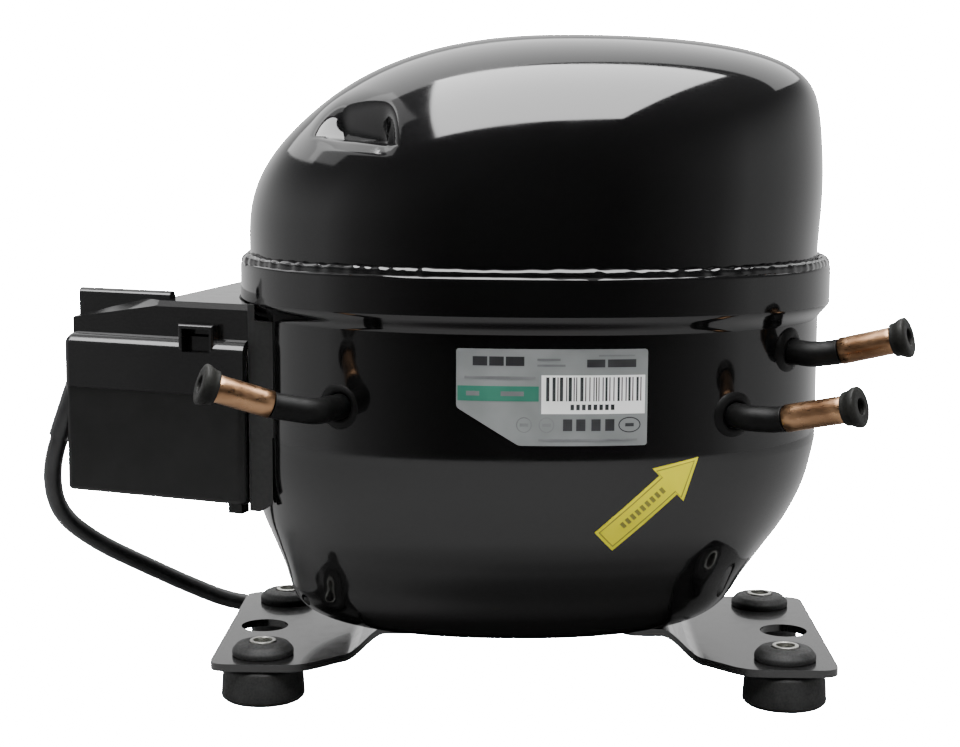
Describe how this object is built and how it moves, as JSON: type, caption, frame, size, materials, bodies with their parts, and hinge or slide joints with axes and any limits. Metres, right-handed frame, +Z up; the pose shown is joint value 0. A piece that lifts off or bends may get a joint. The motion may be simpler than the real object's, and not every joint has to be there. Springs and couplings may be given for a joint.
{
  "type": "hermetic reciprocating compressor",
  "caption": "Welded oval black shell on rubber-mounted feet, with copper tube ends, a clip-on terminal box with lead, and a spring-hung motor and slide-tube pump inside.",
  "frame": {"origin": "centre of the four foot bolts, in the plane the grommets stand on", "axes": "+Z up, +X from the terminal box towards the two line tubes, -Y the labelled front"},
  "size_m": [0.2854, 0.2477, 0.2153],
  "materials": {
    "shell_paint": "gloss black stove enamel",
    "foot_paint": "semi-gloss black paint on pressed steel",
    "grommet_rubber": "matt black rubber",
    "plug_rubber": "dark grey-green rubber",
    "zinc_steel": "zinc-plated steel",
    "spring_steel": "oiled spring steel",
    "copper": "bare drawn copper",
    "box_plastic": "black moulded plastic",
    "inner_plastic": "natural nylon",
    "relay_plastic": "black phenolic moulding",
    "glass_bead": "fused terminal glass",
    "label_print": "printed silver-grey film",
    "arrow_print": "yellow film",
    "lead_pvc": "black PVC sheath",
    "connector_nylon": "white nylon",
    "electrical_steel": "stacked electrical steel",
    "magnet_wire": "enamelled copper wire",
    "cast_aluminium": "die-cast aluminium",
    "cast_iron": "machined grey iron",
    "machined_steel": "ground steel",
    "gasket_fibre": "fibre gasket"
  },
  "bodies": {
    "root": {"arrow_label": "arrow_print", "cable_clamp": "inner_plastic", "cluster_block": "inner_plastic", "copper_tubes": "copper", "discharge_loop": "copper", "earth_screw": "zinc_steel", "grommet_sleeves": "zinc_steel", "hermetic_terminal": "zinc_steel", "lead_coil": "lead_pvc", "lead_connector": "connector_nylon", "lead_strain_relief": "lead_pvc", "left_foot_bracket": "foot_paint", "lower_shell": "shell_paint", "motor_leads": "lead_pvc", "overload_protector": "relay_plastic", "rating_label": "label_print", "right_foot_bracket": "foot_paint", "rubber_grommets": "grommet_rubber", "spring_seats": "zinc_steel", "starter_relay": "relay_plastic", "steel_stubs": "shell_paint", "supply_lead": "lead_pvc", "suspension_springs": "spring_steel", "terminal_bracket": "foot_paint", "terminal_glass": "glass_bead", "terminal_housing": "box_plastic", "terminal_pins": "zinc_steel", "tube_collars": "shell_paint", "upper_shell": "shell_paint", "weld_bead": "shell_paint"},
    "pump_unit": {"stator_core": "electrical_steel", "stator_windings": "magnet_wire", "stator_bolts": "zinc_steel", "spring_guides": "inner_plastic", "crankcase": "cast_iron", "thrust_washer": "machined_steel", "valve_plate": "machined_steel", "head_gaskets": "gasket_fibre", "discharge_stop": "machined_steel", "cylinder_head": "cast_aluminium", "head_bolts": "zinc_steel", "suction_muffler": "inner_plastic", "discharge_muffler": "machined_steel", "head_link_tube": "copper"},
    "crank": {"crankshaft": "cast_iron", "counterweight": "machined_steel", "rotor_core": "electrical_steel", "rotor_end_rings": "cast_aluminium", "oil_pickup": "machined_steel"},
    "slider": {"slider_block": "cast_iron"},
    "yoke_plug": {"yoke_oil_plug": "machined_steel"},
    "piston": {"piston_yoke": "machined_steel"},
    "suction_valve": {"suction_reed": "spring_steel"},
    "discharge_valve": {"discharge_reed": "spring_steel"},
    "box_lid": {"terminal_lid": "box_plastic"},
    "latch": {"lid_latch": "box_plastic"},
    "process_cap": {"process_plug": "plug_rubber"},
    "suction_cap": {"suction_plug": "plug_rubber"},
    "discharge_cap": {"discharge_plug": "plug_rubber"}
  },
  "joints": [
    {"name": "pump_bounce", "type": "slide", "parent": "root", "child": "pump_unit", "axis": [0, 0, 1], "range_m": [-0.002, 0.002], "stiffness_N_per_m": 20000, "springref_m": 0.00257, "deforming": ["suspension_springs", "discharge_loop", "motor_leads"]},
    {"name": "crank_spin", "type": "hinge", "parent": "pump_unit", "child": "crank", "pos_m": [-0.008, 0, 0.1], "axis": [0, 0, 1], "continuous": true},
    {"name": "slider_turn", "type": "hinge", "parent": "crank", "child": "slider", "pos_m": [-0.01317, 0.00896, 0.158], "axis": [0, 0, 1], "continuous": true},
    {"name": "plug_turn", "type": "hinge", "parent": "crank", "child": "yoke_plug", "pos_m": [-0.01059, 0.00448, 0.158], "axis": [0, 0, 1], "continuous": true},
    {"name": "piston_stroke", "type": "hinge", "parent": "yoke_plug", "child": "piston", "pos_m": [-0.01317, 0, 0.158], "axis": [0, 0, 1], "continuous": true},
    {"name": "suction_reed_flex", "type": "hinge", "parent": "pump_unit", "child": "suction_valve", "pos_m": [0.04683, 0.0055, 0.158], "axis": [0, 0, -1], "range_deg": [0, 3], "stiffness_Nm_per_rad": 0.02},
    {"name": "discharge_reed_flex", "type": "hinge", "parent": "pump_unit", "child": "discharge_valve", "pos_m": [0.05045, -0.011, 0.164], "axis": [0, 0, -1], "range_deg": [0, 3.5], "stiffness_Nm_per_rad": 0.03},
    {"name": "lid_lift", "type": "slide", "parent": "root", "child": "box_lid", "axis": [0, 0, 1], "range_m": [0, 0.04]},
    {"name": "latch_flex", "type": "hinge", "parent": "root", "child": "latch", "pos_m": [-0.10526, -0.02525, 0.094], "axis": [-0.9298, 0.3681, 0], "range_deg": [0, 5], "stiffness_Nm_per_rad": 0.4},
    {"name": "process_plug_pull", "type": "slide", "parent": "root", "child": "process_cap", "axis": [-0.8916, -0.3202, 0.3202], "range_m": [0, 0.02]},
    {"name": "suction_plug_pull", "type": "slide", "parent": "root", "child": "suction_cap", "axis": [0.8238, -0.5164, 0.2336], "range_m": [0, 0.02]},
    {"name": "discharge_plug_pull", "type": "slide", "parent": "root", "child": "discharge_cap", "axis": [0.868, -0.4245, 0.2575], "range_m": [0, 0.02]}
  ],
  "couplings": [
    {"joint": "slider_turn", "follows": "crank_spin", "ratio": -1},
    {"joint": "plug_turn", "follows": "crank_spin", "ratio": -2},
    {"joint": "piston_stroke", "follows": "crank_spin", "ratio": 1}
  ]
}
